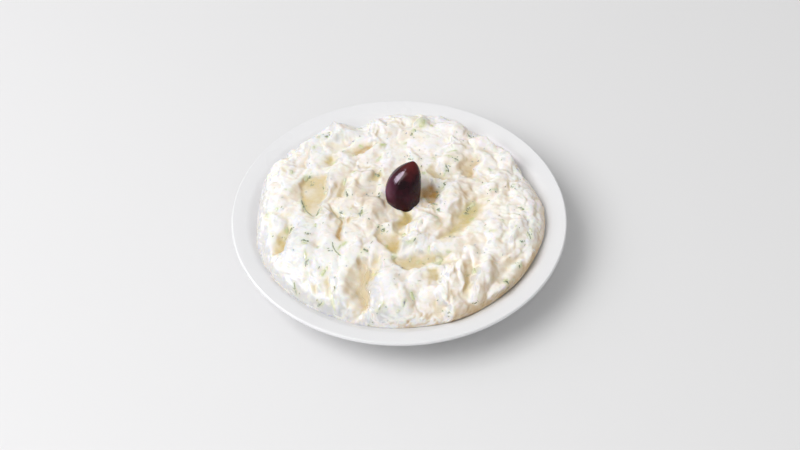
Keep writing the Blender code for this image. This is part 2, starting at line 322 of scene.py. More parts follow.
# spoon marks, in mm and degrees: across, away, length, width, turn and height, then the strength
# and amber of the stain (amber 0 is pale tan, 0.5 yellow, 1 orange) and how deep oil stands in it
HOLLOWS = (
    (-41.5, 8, 21, 14, 82, -1.4, 0.375, 0.1, 0),
    (-40.5, -3, 17, 7, 86, -1, 0.425, 0.3, 0),
    (31, -9, 34, 11, 56, -2, 0.45, 0.5, 0),
    (8, -36, 30, 9, -4, -2, 0.4, 0.3, 0),
    (14, 6, 13, 9, 110, -3.4, 0.78, 1, 1.8),
    (2, -8, 15, 9, 0, -2.4, 0.1, 0.3, 0.4),
    (35, 26, 17, 7, 75, -2.8, 0.35, 0.7, 0.9),
    (19, 19, 14, 6, -15, -2.2, 0.38, 0.5, 0.8),
    (-19, 37, 14, 6, 30, -1.2, 0.375, 0.6, 0),
    (-34, 30, 12, 7, 45, -1.2, 0.275, 0.5, 0),
    (-28, 41, 16, 7, 50, -1.8, 0.175, 0.2, 0.6),
    (-54, -23, 20, 8, 64, -0.8, 0.425, 0.6, 0),
    (-57.5, -29, 11, 5, 25, -0.4, 0.3, 0.3, 0),
    (-27.5, 9, 18, 6, 78, -1.2, 0.3, 0.35, 0),
    (-28.5, -16, 24, 5, 104, -1.2, 0.375, 0.75, 0),
    (1.5, -15, 14, 6, 74, -1.4, 0.45, 0.6, 0),
    (-6, -24, 13, 8, 115, -1.4, 0.375, 0.75, 0),
    (-17, -50, 34, 10, 84, -1.6, 0.35, 0.2, 0),
    (-11, -40, 18, 5, 84, -2.4, 0.6, 0.3, 0),
    (-35, -48, 20, 5, 84, -1.2, 0.25, 0.4, 0),
    (13.5, -48, 11, 6, 110, -1.2, 0.275, 0.6, 0),
    (33.5, -49, 20, 5, 80, -1.8, 0.375, 0.4, 0),
    (48, -44, 20, 6, 68, -1.2, 0.3, 0.1, 0),
    (54, -34, 12, 6, 20, -1.4, 0.3, 0.3, 0),
    (17.5, -65, 10, 7, 60, -1, 0.25, 0.1, 0),
    (-48, 29, 18, 5, 97, -0.9, 0.2, 0.1, 0),
)
# folds between them: across, away, length, width, turn, height
RIDGES = (
    (-60, -13, 30, 14, 84, 2.4),
    (-58, 6, 22, 16, 60, 2.0),
    (-56, 20, 16, 10, 60, 1.8),
    (-45, -30, 34, 13, 94, 2.4),
    (-36, -11, 16, 8, 70, 1.8),
    (-34, -33, 18, 8, 70, 1.6),
    (-34, 12, 26, 5, 72, 2.2),
    (-21, 4, 22, 9, 70, 2.0),
    (-12, -7, 20, 9, 65, 2.0),
    (-16, 17, 16, 8, 20, 2.2),
    (-42, 24, 20, 9, 60, 1.8),
    (-26, 24, 18, 8, 60, 1.8),
    (-40, 43, 20, 12, 50, 2.0),
    (-29, 53, 18, 10, 112, 3.0),
    (-14, 46, 16, 9, 60, 2.0),
    (-3, 50, 16, 10, 40, 1.8),
    (12, 56, 16, 7, 76, 2.6),
    (25, 51, 22, 15, 20, 2.4),
    (44, 43, 14, 8, -30, 2.0),
    (53, 34, 14, 8, -60, 2.2),
    (26, 36, 22, 9, 10, 1.8),
    (48, 16, 20, 12, 60, 2.0),
    (26, 6, 24, 14, 55, 2.2),
    (13, -12, 20, 9, 66, 2.0),
    (6, -26, 22, 9, 20, 1.8),
    (-20, -31, 20, 10, 70, 1.8),
    (-2, -56, 32, 16, 98, 3.0),
    (-27, -56, 34, 8, 82, 2.2),
    (-57, -44, 24, 11, 58, 2.0),
    (-43, -60, 20, 9, 60, 1.8),
    (25, -46, 22, 9, 74, 2.0),
    (39, -44, 28, 8, 72, 2.8),
    (22, -60, 18, 10, 70, 2.2),
    (50, -52, 16, 9, 56, 2.0),
    (55, -14, 22, 10, 72, 2.0),
    (64, -12, 24, 7, 84, 1.8),
    (44, -18, 20, 10, 40, 1.6),
    (29, -68, 14, 8, 50, 1.8),
)
# beds pressed in by the spoon: how deep, 1 if it slopes down from its first side and 0 if it is
# level, softness of its rim, strength and amber of its stain, and corners anticlockwise, in mm
BEDS = (
    (2.1, 0, 0.35, 0.8, 0.25,
        ((-48.4, 12.8), (-43.7, -4.7), (-40.3, -8.1), (-38.4, -6.4), (-34, 12), (-34.3, 19), (-45, 16.5))),
    (2.6, 1, 0.35, 0.75, 0.3,
        ((-27.5, 16), (-30, 2), (-26, 2.6), (-24.8, 12))),
    (3.6, 1, 0.35, 0.95, 0.6,
        ((-52, -8), (-62.3, -32), (-53, -29.7), (-51.5, -20))),
    (4.4, 1, 0.45, 0.5, 0.25,
        ((-23, -41), (-26, -77), (-22.5, -76), (-13.5, -63), (-12.8, -40.5), (-15, -36.5))),
    (3.2, 0, 0.6, 0.75, 0.3,
        ((-2, -33.2), (-2, -36.4), (5.5, -43), (8.5, -41), (20.5, -36.6), (21.5, -32))),
    (3, 0, 1.1, 0.8, 0.45,
        ((31, -2), (21, -22), (26, -20), (32.5, -14.8), (40, -5), (40, 2), (36.3, 4))),
    (2.8, 1, 0.5, 0.85, 0.6,
        ((-1.5, -8), (-1.9, -24.6), (0.6, -19.2), (3.7, -11.5), (4.2, -6.5), (0.5, -5))),
    (2.8, 0, 0.7, 0.8, 0.65,
        ((-10.4, -22.9), (-7.2, -29.4), (-4, -31), (0, -31.6), (-0.4, -19), (-7.2, -20.8))),
    (2.2, 1, 0.35, 0.65, 0.45,
        ((-33, -2), (-28.5, -22), (-25.9, -24), (-28.1, -15.8), (-31, -2))),
    (3, 1, 0.35, 1, 0.85,
        ((-29, -17), (-28.5, -22), (-25.5, -24), (-25.5, -21), (-27, -15))),
    (1.6, 0, 0.5, 0.6, 0.4,
        ((-26, -13), (-23, -16), (-21.3, -11), (-24.5, -10))),
    (2, 0, 0.4, 0.85, 0.85,
        ((-22.5, 35), (-19.5, 33), (-14.8, 37.5), (-15.5, 39.5), (-18, 38.5))),
    (2, 0, 0.5, 0.8, 0.4,
        ((-13.5, 14.5), (-12, 12.5), (-7.5, 17), (-8, 19.5))),
    (1, 0, 0.4, 0.8, 0.65,
        ((-18.5, 25.5), (-18, 23.5), (-12.5, 23), (-12.5, 24.5))),
    (2, 0, 0.6, 0.65, 0.55,
        ((-36, 31), (-33, 27), (-31, 28.5), (-33, 33.5))),
    (1.5, 1, 0.6, 0.5, 0.1,
        ((-50, 34), (-48.5, 22), (-46, 24), (-45, 37))),
    (2.2, 1, 0.5, 0.9, 0.6,
        ((11, -42.5), (11.8, -52), (16.4, -49.3), (13.4, -42.5))),
    (1.8, 0, 0.8, 0.65, 0.15,
        ((15.5, -62.8), (15.8, -67.8), (20.4, -68.8), (22, -63.3), (16.6, -60.7))),
    (1.4, 1, 0.5, 0.6, 0.4,
        ((-42.8, -49), (-42.6, -55), (-40, -56.1), (-38.5, -48))),
    (1.4, 1, 0.5, 0.55, 0.45,
        ((-36.4, -43.6), (-36, -57.1), (-33, -57.1), (-33.6, -43.6))),
)
HOLLOW_FADE = 1.15
RIDGE_FADE = 1.4
MARK_SKEW = 0.3
BROAD_RIDGE = 11  # mm; a wider one is smoother than the rest
# folds laid over the rest, with a crisp border: height, then as above
LAID_FOLDS = (
    (2.2, -2, -57, 34, 18, 99),
    (1.0, -27, -57, 36, 8, 83),
    (1.7, 41, -45, 23, 12, 72),
    (1.3, -34, 9, 28, 6, 76),
    (1.0, -53, 3, 24, 11, 98),
    (1.2, -56, -43, 26, 14, 55),
    (1.3, -45, -31, 34, 14, 96),
    (1.0, 14, -11, 22, 9, 66),
    (1.2, 5, -25, 22, 10, 16),
    (1.0, -13, -7, 20, 10, 66),
    (1.2, -29, 51, 20, 9, 110),
    (1.1, 26, 5, 26, 13, 56),
    (1.0, 22, -50, 26, 8, 76),
    (1.0, 47, -54, 18, 8, 58),
    (1.0, 29, -64, 16, 9, 68),
    (1.1, 29, -42, 17, 9, 78),
    (1.0, 52, -36, 16, 10, 60),
    (1.0, 56, -14, 18, 9, 72),
    (1.1, -57, 22, 16, 9, 62),
    (1.1, -42, 40, 20, 10, 55),
    (2.2, 53, 33, 14, 9, -58),
    (1.9, 43, 44, 15, 9, -42),
    (1.7, 27, 54, 18, 10, -22),
    (1.8, 12, 58, 13, 8, 70),
    (1.3, -10, 55, 13, 8, 60),
)
LUMPS = 120
LUMP_LENGTH = (11 * MM, 22 * MM)
LUMP_WIDTH = (8 * MM, 14 * MM)
LUMP_HEIGHT = (1.0 * MM, 3.2 * MM)
LUMP_SCATTER = 3 * MM
LUMP_TURN = (66, 28)
LUMP_SKEW = -0.4
LUMP_SEED = 7
SHEET_SPAN = 84 * MM  # half the side of the flat sheet that the relief is worked out on
SHEET_CELLS = 768
sheet_step = 2 * SHEET_SPAN / SHEET_CELLS
sheet_line = (np.arange(SHEET_CELLS) - SHEET_CELLS / 2) * sheet_step
sheet_x, sheet_y = np.meshgrid(sheet_line, sheet_line)


def smooth(field, spread):
    """Gaussian blur of a sheet by a spread in metres, done on its Fourier transform."""
    turn = 2 * math.pi * np.fft.fftfreq(SHEET_CELLS, sheet_step)
    fade = np.exp(-((spread * turn) ** 2) / 2)
    return np.fft.ifft2(np.fft.fft2(field) * fade[:, None] * fade[None, :]).real


def cloud(spread, seed):
    """White noise blurred by a spread in metres, then scaled to a deviation of one."""
    field = smooth(np.random.default_rng(seed).normal(size=(SHEET_CELLS, SHEET_CELLS)), spread)
    return field / field.std()


def oval(x, y, across, away, length, width, turn, skew=0.0, bow=0.0):
    """Squared distance from an oval's crest, 1 on its outline.

    A skew below 0 moves the crest to the left of its length, which is then the steeper side. A
    bow bends the oval to an arc.
    """
    c, s = math.cos(math.radians(turn)), math.sin(math.radians(turn))
    along = ((x - across) * c + (y - away) * s) / (length / 2)
    beside = ((x - across) * s - (y - away) * c) / (width / 2) - bow * (1 - 2 * along**2)
    beside = (beside - skew) / (1 + skew * np.sign(skew - beside))
    return along**2 + beside**2


def stamp(field, rise, across, away, length, width, turn, skew=0.0, bow=0.0, lap=0.0):
    """Joins one dome to a sheet by taking the greater, only in the window round the dome.

    A lap above 0 makes the dome's left border stand steep and its right side run out thin.
    """
    reach = max(length, width) / 2 + abs(bow) * width
    low = np.searchsorted(sheet_line, (away - reach, across - reach))
    high = np.searchsorted(sheet_line, (away + reach, across + reach))
    window = np.s_[low[0] : high[0], low[1] : high[1]]
    x, y = sheet_x[window], sheet_y[window]
    dome = 1 - oval(x, y, across, away, length, width, turn, skew, bow)
    c, s = math.cos(math.radians(turn)), math.sin(math.radians(turn))
    beside = ((x - across) * s - (y - away) * c) / (width / 2)
    power = 1 + lap * np.tanh(2 * (beside - skew))
    np.maximum(field[window], rise * np.maximum(dome, 0) ** power, out=field[window])


def seed_spots(count, scatter, draw):
    """Places spread like a sunflower's seeds over the whole skin, each moved at random."""
    k = np.arange(count)
    r = (DIP_RADIUS + DIP_EDGE_TOP - SHOULDER_HEIGHT) * np.sqrt((k + 0.5) / count)
    bearing = k * math.pi * (3 - math.sqrt(5))
    return np.stack([r * np.cos(bearing), r * np.sin(bearing)], 1) + draw.normal(0, scatter, (count, 2))


def large_lumps():
    """The lumps that the solid dip has, drawn in the same order."""
    draw = np.random.default_rng(LUMP_SEED)
    span = DIP_RADIUS + DIP_EDGE_TOP - SHOULDER_HEIGHT
    for k in range(LUMPS):
        r = span * math.sqrt((k + 0.5) / LUMPS)
        bearing = k * math.pi * (3 - math.sqrt(5))
        across, away = draw.normal((r * math.cos(bearing), r * math.sin(bearing)), LUMP_SCATTER)
        length, width = draw.uniform(*LUMP_LENGTH), draw.uniform(*LUMP_WIDTH)
        yield across, away, length, width, draw.normal(*LUMP_TURN), draw.uniform(*LUMP_HEIGHT)


# large form: the marks and lumps of the solid, a little settled; calm is 1 in the spoon marks and
# broad is 1 on the wide ridges, where the fine form is weaker
marks = np.zeros_like(sheet_x)
calm = np.zeros_like(sheet_x)
broad = np.zeros_like(sheet_x)
for across, away, length, width, turn, rise, *_ in HOLLOWS + RIDGES:
    skew = -math.copysign(MARK_SKEW, rise)
    off = oval(sheet_x / MM, sheet_y / MM, across, away, length, width, turn, skew)
    weight = np.exp(-RIDGE_FADE * off) if rise > 0 else np.exp(-((HOLLOW_FADE * off) ** 1.5))
    marks += rise * MM * weight
    if rise < 0:
        calm = np.maximum(calm, weight)
    elif width > BROAD_RIDGE:
        broad = np.maximum(broad, weight)
domes = np.zeros_like(sheet_x)
for *place, rise in large_lumps():
    domes += np.maximum(0, rise / MM * (1 - oval(sheet_x, sheet_y, *place, LUMP_SKEW))) ** 5
large_form = 0.75 * marks + 0.4 * MM * domes**0.2 * (1 - calm)

# fine form: folds of curd, shreds of cucumber under the yogurt, and grains
draw = np.random.default_rng(21)
folds = np.zeros_like(sheet_x)
for across, away in seed_spots(300, 2.6 * MM, draw):
    length, width = draw.uniform(8, 18) * MM, draw.uniform(4.5, 9) * MM
    rise, bow = draw.uniform(0.1, 0.85) * MM, draw.normal(0, 0.25)
    stamp(folds, rise, across, away, length, width, draw.normal(68, 26), -0.4, bow, 0.55)
laid = np.zeros_like(sheet_x)
for rise, *place in LAID_FOLDS:
    *box, turn = place
    stamp(laid, rise * MM, *(value * MM for value in box), turn, -0.3, 0.0, 0.45)
shreds = np.zeros_like(sheet_x)
for across, away in seed_spots(480, 2.5 * MM, draw):
    length, width = draw.uniform(4, 14) * MM, draw.uniform(1.0, 3.0) * MM
    rise, bow = draw.uniform(0.06, 0.2) * width, draw.normal(0, 0.8)
    stamp(shreds, rise, across, away, length, width, draw.normal(68, 34), -0.3, bow, 0.5)
grains = np.zeros_like(sheet_x)
for across, away in seed_spots(1300, 1.8 * MM, draw):
    length, width = draw.uniform(1.6, 5) * MM, draw.uniform(1.4, 3) * MM
    stamp(grains, draw.uniform(0.05, 0.28) * MM, across, away, length, width, draw.uniform(0, 180), -0.2)
rough = np.clip(0.65 + 0.5 * cloud(6 * MM, 31), 0.1, 1.3) * (1 - 0.8 * calm) * (1 - 0.6 * broad)
fine_form = (folds - folds.mean()) * (1 - 0.75 * calm) * (1 - 0.5 * broad) + 0.8 * laid
fine_form += rough * (shreds + grains - shreds.mean() - grains.mean())
curd = 0.30 * abs(cloud(2.2 * MM, 34)) + 0.14 * abs(cloud(1.0 * MM, 35)) - 0.35
fine_form += curd * MM * (0.25 + 0.75 * rough)


def bed_parts(slopes, rim, corners):
    """How much of each cell a bed covers, 0 to 1, and how far down its slope it is, 0 to 1."""
    x, y = sheet_x / MM, sheet_y / MM
    inside = []
    for (x0, y0), (x1, y1) in zip(corners, corners[1:] + corners[:1]):
        inside.append(((x1 - x0) * (y - y0) - (y1 - y0) * (x - x0)) / math.hypot(x1 - x0, y1 - y0))
    least = np.min(inside, 0)
    down = np.clip(inside[0] / inside[0][least > 0].max(), 0, 1) if slopes else np.ones_like(x)
    return 1 / (1 + np.exp(-np.clip(least / rim, -30, 30))), down


form = large_form + fine_form
for deep, slopes, rim, *_, corners in BEDS:
    cover, down = bed_parts(slopes, rim, corners)
    around = (form * cover).sum() / cover.sum() * (1 - slopes) + slopes * smooth(form, 3 * MM)
    bed = around - deep * MM * down * (1 - 0.4 * (1 - slopes)) + 0.45 * fine_form
    form = form * (1 - cover) + bed * cover
form = smooth(form, 0.16 * MM) + 0.02 * MM * cloud(0.6 * MM, 33)


def sheet_at(field, x, y):
    """Reads a sheet at any places, by weighing the four cells round each."""
    u, v = x / sheet_step + SHEET_CELLS / 2, y / sheet_step + SHEET_CELLS / 2
    i, j = np.clip(u.astype(int), 0, SHEET_CELLS - 2), np.clip(v.astype(int), 0, SHEET_CELLS - 2)
    u, v = u - i, v - j
    near = field[j, i] * (1 - u) + field[j, i + 1] * u
    return near * (1 - v) + (field[j + 1, i] * (1 - u) + field[j + 1, i + 1] * u) * v


# the folds wander off their plain ovals
drift_x = 0.9 * MM * cloud(4 * MM, 41) + 0.4 * MM * cloud(1.2 * MM, 42)
drift_y = 0.9 * MM * cloud(4 * MM, 43) + 0.4 * MM * cloud(1.2 * MM, 44)
form = sheet_at(form, sheet_x + drift_x, sheet_y + drift_y)


def dip_edge(bearing):
    """How far the dip reaches at a bearing: a wavering circle with Gaussian bays."""
    waver = np.sin(5 * bearing + 0.6) + 0.8 * np.sin(11 * bearing + 2.0)
    reach = DIP_RADIUS + EDGE_WAVER * waver
    for at, half_width, amount in EDGE_BAYS:
        off = (np.degrees(bearing) - at + 180) % 360 - 180
        reach = reach + amount * np.exp(-((off / half_width) ** 2))
    return reach


def plate_under(r):
    """Height of the plate's upper face at a radius, read along its outline up to the lip."""
    upper = plate_inside[: plate_inside[:, 1].argmax() + 1]
    return np.interp(r, upper[:, 0], upper[:, 1])


def dip_skin(share, bearing, relief):
    """Points of the skin, and the places on the sheet that they are read from.

    The plain heap is a low dome with a square shoulder; the relief stands on it, upwards on
    the top and outwards on the side, and dies away where the dip meets the plate.
    """
    reach = dip_edge(bearing) * share
    contact = plate_under(dip_edge(bearing)) - DIP_SINK
    dome = DIP_EDGE_TOP + (DIP_MIDDLE_TOP - DIP_EDGE_TOP) * (1 - share**2)
    z = contact + (dome - contact) * np.sqrt(1 - share**DIP_SHOULDER)
    unrolled = reach + dome - z
    fall = (dome - z) / (dome - contact)
    x, y = unrolled * np.cos(bearing), unrolled * np.sin(bearing)
    stand = sheet_at(relief, x, y) * (1 - fall**5)
    tilt = math.pi / 2 * np.sqrt(fall)
    turned_in = np.clip(np.cos(bearing + math.radians(15)), 0, 1)
    reach = reach + stand * np.sin(tilt) - DIP_TUCK * turned_in * fall**4
    points = np.stack([reach * np.cos(bearing), reach * np.sin(bearing), z + stand * np.cos(tilt)], -1)
    return points, x, y


def disc_net(rings):
    """A square net drawn to a disc, as a share of the way out and a bearing for each knot."""
    steps = np.arange(-rings, rings + 1)
    a, b = np.meshgrid(steps, steps)
    square = np.maximum(abs(a), abs(b))
    wide = abs(a) >= abs(b)
    side, step = np.where(wide, (a, b), (b, a))
    lean = math.pi / 4 * step / np.where(side == 0, 1, side)
    return square / rings, np.where(wide, lean, math.pi / 2 - lean) + np.where(side < 0, math.pi, 0)


# equal steps along the skin, over the top and down the side
shares = np.sin(np.linspace(0, math.pi / 2, 2000))
side_points = DIP_EDGE_TOP + (DIP_MIDDLE_TOP - DIP_EDGE_TOP) * (1 - shares**2)
side_drop = (side_points - plate_under(DIP_RADIUS)) * (1 - np.sqrt(1 - shares**DIP_SHOULDER))
way = DIP_RADIUS * shares + side_drop
net_out, net_bearing = disc_net(DIP_RINGS)
net_share = np.interp(net_out * way[-1], way, shares)
skin_points, skin_x, skin_y = dip_skin(net_share, net_bearing, form)
net_side = 2 * DIP_RINGS + 1
index = np.arange(net_side**2).reshape(net_side, net_side)
net_quads = np.stack([index[:-1, :-1], index[:-1, 1:], index[1:, 1:], index[1:, :-1]], -1).reshape(-1, 4)

# the belly: rings that follow the plate below, joined to the net's border
border = np.concatenate([index[0, :-1], index[:-1, -1], index[-1, :0:-1], index[:0:-1, 0]])
turns = net_bearing.reshape(-1)[border]
inside = dip_edge(turns).min() - 1 * MM
belly = []
for r in plate_inside[::6, 0][::-1]:
    if 1 * MM < r < inside:
        height = plate_under(r) + DIP_GAP + 0 * turns
        belly.append(np.stack([r * np.cos(turns), r * np.sin(turns), height], -1))
count = net_side**2 + len(belly) * len(border)
rings = np.vstack([border, np.arange(net_side**2, count).reshape(-1, len(border))])
beside = np.roll(rings, -1, 1)
belly_quads = np.stack([rings[1:], beside[1:], beside[:-1], rings[:-1]], -1)
fan = np.stack([np.full(len(border), count), beside[-1], rings[-1]], -1)
dip_points = np.vstack([skin_points.reshape(-1, 3), *belly, [[0, 0, FLOOR_HEIGHT + DIP_GAP]]])
dip_faces = np.vstack([net_quads, belly_quads.reshape(-1, 4)]).tolist() + fan.tolist()
dip = solid("tzatziki_dip", dip_points, dip_faces)


def painted(tree, name):
    """Reads a painted attribute in a material."""
    return node(tree, "ShaderNodeAttribute", attribute_name=name).outputs["Fac"]


def paint(target, name, values):
    """Puts one value a vertex on a mesh as a named attribute, with zero where none is given."""
    full = np.zeros(len(target.data.vertices), np.float32)
    full[: values.size] = values.reshape(-1)
    target.data.attributes.new(name, "FLOAT", "POINT").data.foreach_set("value", full)


# painted shade and tan: the creases and the side of each fold that faces right and away from the
# key light are painted tan as shade, over random tan patches and a tan tone that grows to the right half
# of the heap
crease_shade = (smooth(form, 1.0 * MM) - form) / (0.3 * MM) + (smooth(form, 3 * MM) - form) / (1.4 * MM)
fall_y, fall_x = np.gradient(smooth(form, 0.3 * MM), sheet_step)
lee_shade = -(0.87 * fall_x + 0.5 * fall_y)
tan_and_painted_shade = 0.22 * crease_shade + 0.8 * lee_shade + 0.14 * cloud(8 * MM, 51) + 0.14 * cloud(1.6 * MM, 52) - 0.06
tan_and_painted_shade += 0.16 * np.tanh((sheet_x + 10 * MM) / (30 * MM))
stain = np.zeros_like(sheet_x)
amber = 0.4 + 0.2 * cloud(5 * MM, 53)
for *place, _, strength, tone, _ in HOLLOWS:
    weight = np.exp(-(oval(sheet_x / MM, sheet_y / MM, *place, 0.4) ** 2.5))
    stain = np.maximum(stain, strength * weight)
    amber = amber * (1 - weight) + tone * weight
for deep, slopes, rim, strength, tone, corners in BEDS:
    cover, down = bed_parts(slopes, rim, corners)
    stain = np.maximum(stain * (1 - 0.5 * cover), strength * cover * (1 - 0.6 * slopes * (1 - down)))
    amber = amber * (1 - cover) + tone * cover
stain = np.clip(stain * (1 + 0.3 * cloud(1.6 * MM, 54) + 0.15 * cloud(0.7 * MM, 55)), 0, 1)
stain = sheet_at(stain, sheet_x + drift_x, sheet_y + drift_y)
amber = sheet_at(amber, sheet_x + drift_x, sheet_y + drift_y)
tan_and_painted_shade += 0.40 * np.exp(-(np.hypot(sheet_x - 2 * MM, sheet_y + 2 * MM) / (26 * MM)) ** 2)
skin_tan_and_painted_shade = sheet_at(tan_and_painted_shade, skin_x, skin_y)
# painted light and shade: the sides that face the key at the left are painted a darker grey to hold
# down their highlights, and the sides that face right and the foot of the right side are painted tan as
# shade
normal = np.cross(np.gradient(skin_points, axis=1), np.gradient(skin_points, axis=0))
normal /= np.linalg.norm(normal, axis=-1, keepdims=True) + 1e-12
normal *= np.sign(normal[..., 2:] + 1e-9)
skin_tan_and_painted_shade -= 2.5 * np.clip(-0.8 * normal[..., 0] - 0.6 * normal[..., 1] - 0.25, 0, 1)
skin_tan_and_painted_shade += 0.9 * np.clip(0.9 * normal[..., 0] - 0.3 * normal[..., 1] - 0.35, 0, 1)
foot = np.clip(net_share - 0.93, 0, 0.07) / 0.07
skin_tan_and_painted_shade += foot**2 * (0.25 + 1.1 * np.clip(np.cos(net_bearing + math.radians(25)), 0, 1))
paint(dip, "tan_and_painted_shade", np.clip(skin_tan_and_painted_shade, -2, 2))
# the yogurt left of the olive is a shade creamier
paint(dip, "creamy", np.exp(-((np.hypot(skin_x + 18 * MM, skin_y + 2 * MM) / (22 * MM)) ** 2)))
paint(dip, "stain", sheet_at(stain, skin_x, skin_y))
paint(dip, "amber", sheet_at(amber, skin_x, skin_y))

yogurt, tree, shader = new_material(
    "yogurt",
    Subsurface_Weight=1.0,
    Subsurface_Radius=(1.0, 0.8, 0.5),
    Subsurface_Scale=0.7 * MM,
    Specular_IOR_Level=0.15,
)
stained = painted(tree, "stain")
tone = painted(tree, "amber")
fleck = remap(tree, noise(tree, 420, 4), 0.3, 0.7, -0.22, 0.22)
# the painted shade and tan, with fine flecks of tone
tan = maths(tree, "ADD", painted(tree, "tan_and_painted_shade"), fleck)
rightness = remap(tree, position(tree)[0], -50 * MM, 35 * MM)
white = blend(tree, rightness, (0.835, 0.83, 0.83), (0.875, 0.853, 0.835))
cream = blend(tree, rightness, (0.86, 0.84, 0.81), (0.89, 0.856, 0.82))
# painted light and shade: the lowest values, on the sides that face the key, get a painted darker grey
# that holds down their highlights; the highest get the painted tan of shade
colour = blend(tree, remap(tree, tan, -1.4, -0.5), (0.625, 0.62, 0.615), white)
colour = blend(tree, remap(tree, tan, -0.5, 0.0), colour, cream)
colour = blend(tree, remap(tree, tan, 0.0, 0.5), colour, (0.815, 0.74, 0.645))
colour = blend(tree, remap(tree, tan, 0.5, 1.5), colour, (0.68, 0.52, 0.32))
# juice of the cucumber and of the olive comes through in faint green and pink patches
colour = blend(tree, remap(tree, noise(tree, 380), 0.56, 0.68, 0.0, 0.5), colour, (0.74, 0.76, 0.64))
colour = blend(tree, remap(tree, noise(tree, 290), 0.40, 0.30, 0.0, 0.5), colour, (0.81, 0.72, 0.67))
colour = blend(tree, painted(tree, "creamy"), colour, (0.92, 0.895, 0.85), "MULTIPLY")
oily = blend(tree, remap(tree, tone, 0.1, 0.5), (0.75, 0.64, 0.44), (0.66, 0.57, 0.29))
oily = blend(tree, remap(tree, tone, 0.5, 1.0), oily, (0.56, 0.32, 0.09))
share = maths(tree, "ADD", stained, maths(tree, "MULTIPLY", fleck, stained))
colour = blend(tree, share, colour, oily)
# cucumber and herbs show through where they lie just under the skin
colour = blend(tree, maths(tree, "MULTIPLY", painted(tree, "green"), 0.8), colour, (0.62, 0.66, 0.38))
share = maths(tree, "MULTIPLY", painted(tree, "clouded"), remap(tree, noise(tree, 650), 0.4, 0.62))
colour = blend(tree, maths(tree, "MULTIPLY", share, 0.75), colour, (0.50, 0.53, 0.49))
feed(tree, shader, Base_Color=colour, Roughness=uneven_gloss(tree, 300, 0.22, 0.5))
bump(tree, shader, noise(tree, 700, 3), 0.05 * MM, 0.5)
dip.data.materials.append(yogurt)
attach(dip, "root")
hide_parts("tzatziki")


# Oil. Olive oil and whey that ran off the folds. It stands level in the spoon marks and lies in
# the deeper creases, as a clear amber film over the skin that thins out to nothing at its shore.
FILM_SOFT = 0.3 * MM
level = smooth(form, 3 * MM) - 1.1 * MM
for *place, _, _, _, depth in HOLLOWS:
    if depth:
        off = oval(sheet_x / MM, sheet_y / MM, *place, MARK_SKEW)
        weight = np.exp(-((off / 1.3) ** 4))
        level = level * (1 - weight) + (np.percentile(form[off < 0.6], 8) + depth * MM) * weight
for deep, slopes, rim, *_, corners in BEDS:
    cover, down = bed_parts(slopes, rim, corners)
    cover = sheet_at(smooth(cover, 0.4 * MM), sheet_x + drift_x, sheet_y + drift_y)
    low = np.percentile(form[cover > 0.6], 10)
    level = level * (1 - cover) + (low + 0.45 * deep * MM) * cover
film = FILM_SOFT * np.logaddexp(0, (level - form) / FILM_SOFT)
oil_points, oil_x, oil_y = dip_skin(net_share, net_bearing, form + film)
thick = sheet_at(film, oil_x, oil_y).reshape(-1)
wet = net_quads[(thick[net_quads].max(1) > 0.06 * MM) & (net_share.reshape(-1)[net_quads].max(1) < 0.97)]
used, wet_faces = np.unique(wet, return_inverse=True)
oil = solid("oil_pools", oil_points.reshape(-1, 3)[used], wet_faces.reshape(-1, 4).tolist())
paint(oil, "film", thick[used] / MM)
paint(oil, "amber", sheet_at(amber, oil_x, oil_y).reshape(-1)[used])

amber_oil, tree, shader = new_material("amber_oil", Specular_IOR_Level=0.5)
tone = painted(tree, "amber")
colour = blend(tree, remap(tree, tone, 0.1, 0.5), (0.78, 0.65, 0.46), (0.72, 0.60, 0.30))
colour = blend(tree, remap(tree, tone, 0.5, 1.0), colour, (0.58, 0.33, 0.08))
feed(tree, shader, Base_Color=colour, Roughness=uneven_gloss(tree, 200, 0.06, 0.16))
# the film is clear at its shore and half dense where it is 2.4 mm deep
feed(tree, shader, Alpha=remap(tree, painted(tree, "film"), 0.08, 2.4, 0.0, 0.55))
oil.data.materials.append(amber_oil)
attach(oil, "root")
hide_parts("tzatziki")


# Cucumber. Slivers of dark peel and pale bits of flesh off the grater, half sunk in the skin.
# Each is a long ellipsoid, bent a little and draped over the skin.

